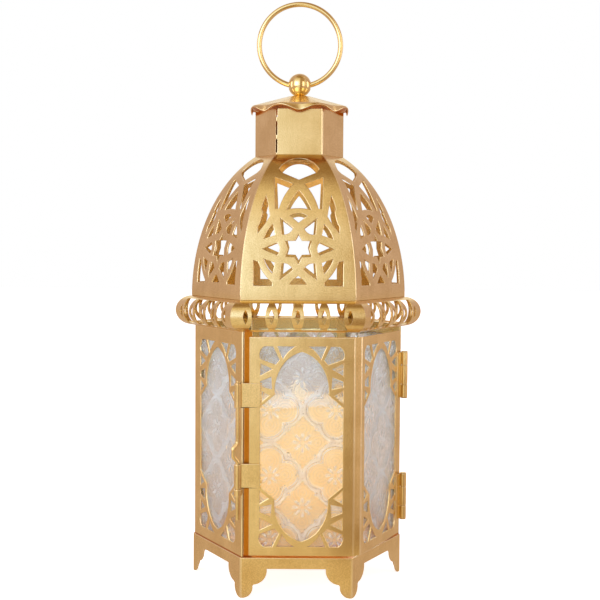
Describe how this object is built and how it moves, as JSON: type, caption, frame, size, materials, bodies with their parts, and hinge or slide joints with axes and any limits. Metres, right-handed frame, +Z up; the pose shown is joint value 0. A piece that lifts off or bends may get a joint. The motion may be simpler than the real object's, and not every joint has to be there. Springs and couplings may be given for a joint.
{
  "type": "hexagonal candle lantern",
  "caption": "Hexagonal pierced metal lantern with pressed glass panes, a latched corner door, an openwork dome, a scalloped roof cap and a swinging carry ring over a battery candle.",
  "frame": {"origin": "on the lantern's axis at the floor that its feet stand on", "axes": "+Z up, -Y out of the latched front face, +X towards the hinge corner"},
  "size_m": [0.1124, 0.0974, 0.2608],
  "materials": {
    "gold_paint": "satin",
    "pressed_glass": "textured",
    "wax": "waxy",
    "flame": "translucent",
    "lamp_plastic": "moulded",
    "bright_steel": "plated"
  },
  "bodies": {
    "lantern_body": {"base_pan": "gold_paint", "body_wall": "gold_paint", "wall_glass_clips": "gold_paint", "neck_tube": "gold_paint", "neck_bridge": "gold_paint", "roof_cap": "gold_paint", "ball_finial": "gold_paint", "latch_keeper": "gold_paint", "band_front": "gold_paint", "band_right_front": "gold_paint", "band_right_back": "gold_paint", "band_back": "gold_paint", "band_left_back": "gold_paint", "band_left_front": "gold_paint", "dome_front": "gold_paint", "dome_right_front": "gold_paint", "dome_right_back": "gold_paint", "dome_back": "gold_paint", "dome_left_back": "gold_paint", "dome_left_front": "gold_paint", "lower_hinge_wall_leaf": "gold_paint", "lower_hinge_pin": "gold_paint", "upper_hinge_wall_leaf": "gold_paint", "upper_hinge_pin": "gold_paint", "glass_right_back": "pressed_glass", "glass_back": "pressed_glass", "glass_left_back": "pressed_glass", "glass_left_front": "pressed_glass", "candle_shell": "wax", "candle_flame": "flame", "candle_core": "lamp_plastic", "candle_battery_cover": "lamp_plastic", "finial_screw": "bright_steel", "finial_washer": "bright_steel", "candle_batteries": "bright_steel"},
    "door": {"door_frame": "gold_paint", "glass_door_front": "pressed_glass", "glass_door_right": "pressed_glass", "door_glass_clips": "gold_paint", "upper_hinge_door_leaf": "gold_paint", "lower_hinge_door_leaf": "gold_paint", "latch_upper_strap": "gold_paint", "latch_lower_strap": "gold_paint"},
    "latch_bolt": {"latch_bolt": "gold_paint"},
    "carry_ring": {"carry_ring": "gold_paint"}
  },
  "joints": [
    {"name": "door_hinge", "type": "hinge", "parent": "lantern_body", "child": "door", "pos_m": [0.04903, 0, 0], "axis": [0, 0, 1], "range_deg": [0, 180]},
    {"name": "bolt_slide", "type": "slide", "parent": "door", "child": "latch_bolt", "axis": [0, 0, 1], "range_m": [0, 0.0136]},
    {"name": "ring_swing", "type": "hinge", "parent": "lantern_body", "child": "carry_ring", "pos_m": [0, 0, 0.22335], "axis": [1, 0, 0], "range_deg": [-120, 120]}
  ]
}
